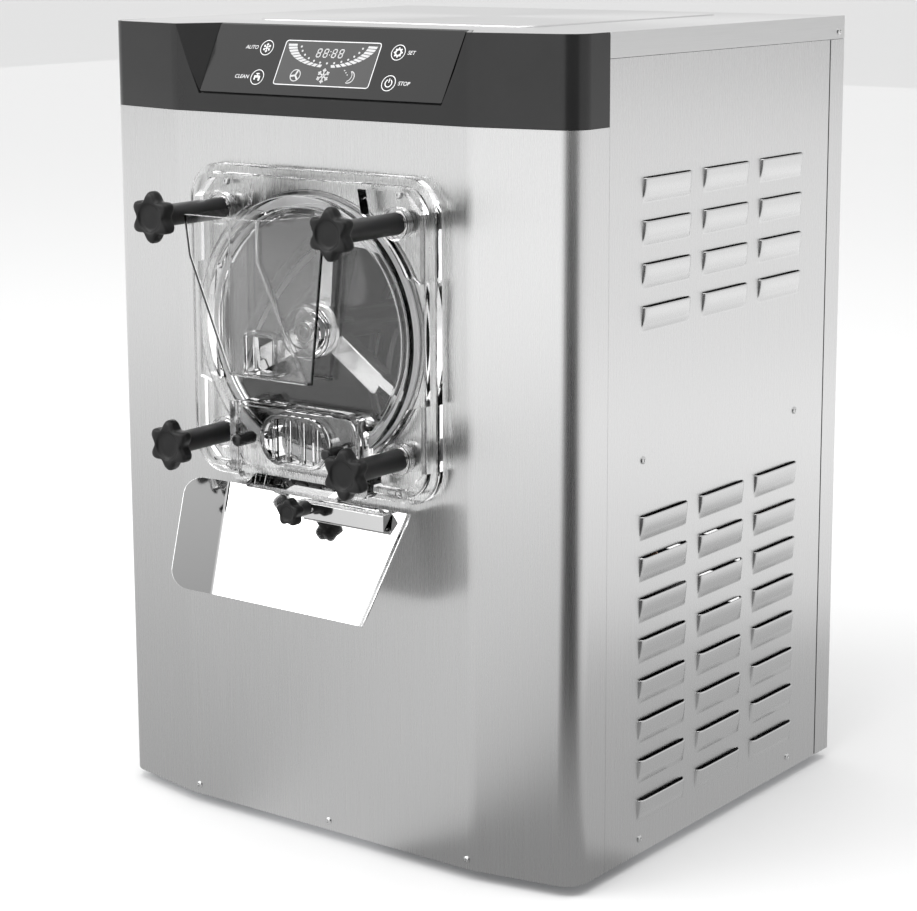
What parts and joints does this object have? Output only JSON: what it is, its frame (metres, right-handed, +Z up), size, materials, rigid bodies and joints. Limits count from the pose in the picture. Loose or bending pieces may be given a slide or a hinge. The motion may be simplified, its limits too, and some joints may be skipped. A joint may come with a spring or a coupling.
{
  "type": "table-top ice cream batch freezer",
  "caption": "Upright steel box with a bowed front, a clear bolted door over a freezing cylinder with a stirrer, a clear feed hopper, a lifting gate and an outlet chute.",
  "frame": {"origin": "centre of the bounding box's footprint, on the surface the feet stand on", "axes": "+Z up, -Y out of the front, where the door, hopper and chute are, +X to the viewer's right"},
  "size_m": [0.53, 0.5846, 0.7312],
  "materials": {
    "casing_steel": "vertical brushed grain",
    "polished_steel": "mirror polished stainless",
    "galvanised_steel": "dull zinc coat",
    "black_plastic": "fine moulded grain",
    "band_plastic": "satin",
    "key_panel": "glossy",
    "display_window": "glossy",
    "clear_plastic": "clear polycarbonate",
    "white_plastic": "satin food plastic",
    "rubber": "matte",
    "foam": "open grained foam",
    "cast_iron": "painted casting",
    "motor_paint": "semi-gloss paint",
    "aluminium": "satin",
    "copper": "drawn copper",
    "circuit_board": "coated board"
  },
  "bodies": {
    "cabinet": {"front_panel": "casing_steel", "left_side_panel": "casing_steel", "right_side_panel": "casing_steel", "rear_panel": "casing_steel", "top_cover": "casing_steel", "freezing_cylinder": "polished_steel", "chute_bracket": "polished_steel", "door_stud_top_left": "polished_steel", "door_stud_top_right": "polished_steel", "door_stud_bottom_left": "polished_steel", "door_stud_bottom_right": "polished_steel", "base_tray": "galvanised_steel", "chassis_frame": "galvanised_steel", "cylinder_deck": "galvanised_steel", "front_bulkhead": "galvanised_steel", "control_box": "galvanised_steel", "fan_shroud": "black_plastic", "cable_gland": "black_plastic", "control_fascia": "band_plastic", "key_panel": "key_panel", "display_window": "display_window", "foot_front_left": "rubber", "foot_front_right": "rubber", "foot_rear_left": "rubber", "foot_rear_right": "rubber", "door_seal": "rubber", "shaft_seal": "rubber", "drive_belt": "rubber", "insulation": "foam", "gearbox": "cast_iron", "fan_motor": "cast_iron", "beater_motor": "motor_paint", "compressor": "motor_paint", "condenser": "aluminium", "start_capacitor": "aluminium", "evaporator_jacket": "copper", "hot_gas_pipe": "copper", "suction_pipe": "copper", "filter_drier": "copper", "main_board": "circuit_board"},
    "door": {"freezer_door": "clear_plastic", "feed_hopper": "clear_plastic"},
    "gate": {"discharge_gate": "clear_plastic", "gate_peg_left": "black_plastic", "gate_peg_right": "black_plastic"},
    "knob_top_left": {"door_knob_top_left": "black_plastic"},
    "knob_top_right": {"door_knob_top_right": "black_plastic"},
    "knob_bottom_left": {"door_knob_bottom_left": "black_plastic"},
    "knob_bottom_right": {"door_knob_bottom_right": "black_plastic"},
    "chute": {"chute_tray": "polished_steel", "chute_clamp": "polished_steel"},
    "chute_nut": {"chute_knob": "black_plastic"},
    "stirrer": {"beater": "polished_steel", "scraper_blade_1": "white_plastic", "scraper_blade_2": "white_plastic", "scraper_blade_3": "white_plastic"},
    "reducer_input": {"input_shaft": "polished_steel", "driven_pulley": "aluminium"},
    "motor_rotor": {"motor_pulley": "aluminium"},
    "fan": {"condenser_fan": "aluminium"}
  },
  "joints": [
    {"name": "door_pull", "type": "slide", "parent": "cabinet", "child": "door", "axis": [0, -1, 0], "range_m": [0, 0.12]},
    {"name": "knob_top_left_turn", "type": "hinge", "parent": "door", "child": "knob_top_left", "pos_m": [-0.099, -0.25, 0.5705], "axis": [0, 1, 0], "continuous": true},
    {"name": "knob_top_right_turn", "type": "hinge", "parent": "door", "child": "knob_top_right", "pos_m": [0.099, -0.25, 0.5705], "axis": [0, 1, 0], "continuous": true},
    {"name": "knob_bottom_left_turn", "type": "hinge", "parent": "door", "child": "knob_bottom_left", "pos_m": [-0.099, -0.25, 0.3685], "axis": [0, 1, 0], "continuous": true},
    {"name": "knob_bottom_right_turn", "type": "hinge", "parent": "door", "child": "knob_bottom_right", "pos_m": [0.099, -0.25, 0.3685], "axis": [0, 1, 0], "continuous": true},
    {"name": "gate_lift", "type": "slide", "parent": "door", "child": "gate", "axis": [0, 0, 1], "range_m": [0, 0.022]},
    {"name": "chute_pull", "type": "slide", "parent": "cabinet", "child": "chute", "axis": [0, -1, 0], "range_m": [0, 0.06]},
    {"name": "chute_knob_turn", "type": "hinge", "parent": "chute", "child": "chute_nut", "pos_m": [0, -0.22675, 0.3135], "axis": [0, 1, 0], "continuous": true},
    {"name": "stirrer_turn", "type": "hinge", "parent": "cabinet", "child": "stirrer", "pos_m": [0, -0.08675, 0.4695], "axis": [0, 1, 0], "continuous": true},
    {"name": "reducer_input_turn", "type": "hinge", "parent": "cabinet", "child": "reducer_input", "pos_m": [0, 0.19325, 0.4695], "axis": [0, 1, 0], "continuous": true},
    {"name": "motor_turn", "type": "hinge", "parent": "cabinet", "child": "motor_rotor", "pos_m": [-0.06, 0.19325, 0.21], "axis": [0, 1, 0], "continuous": true},
    {"name": "fan_turn", "type": "hinge", "parent": "cabinet", "child": "fan", "pos_m": [-0.18, 0.03075, 0.1465], "axis": [1, 0, 0], "continuous": true}
  ],
  "couplings": [
    {"joint": "reducer_input_turn", "follows": "stirrer_turn", "ratio": 5},
    {"joint": "motor_turn", "follows": "stirrer_turn", "ratio": 15}
  ]
}
